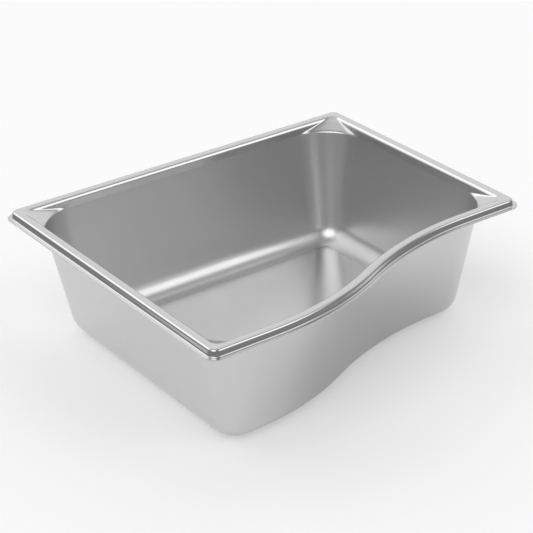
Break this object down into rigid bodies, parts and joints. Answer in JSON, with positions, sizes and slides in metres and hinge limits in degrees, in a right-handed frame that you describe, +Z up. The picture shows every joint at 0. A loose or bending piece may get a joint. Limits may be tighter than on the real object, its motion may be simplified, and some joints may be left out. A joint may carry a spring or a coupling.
{
  "type": "food pan with an S-shaped side",
  "caption": "Open deep-drawn stainless food pan with drafted walls, a stepped flat rim, faceted rim corners and one S-shaped long side.",
  "frame": {"origin": "under the middle of the overall rectangle, on the plane that the floor's underside rests on", "axes": "+X along the straight back from the wide end to the narrow end, +Y towards the straight back (the S-shaped side faces -Y), +Z up"},
  "size_m": [0.324, 0.2892, 0.1005],
  "materials": {
    "satin_stainless": "satin polished deep-drawn stainless sheet, brighter on the rim's rounded edges"
  },
  "bodies": {
    "root": {"pan_shell": "satin_stainless"}
  },
  "joints": []
}
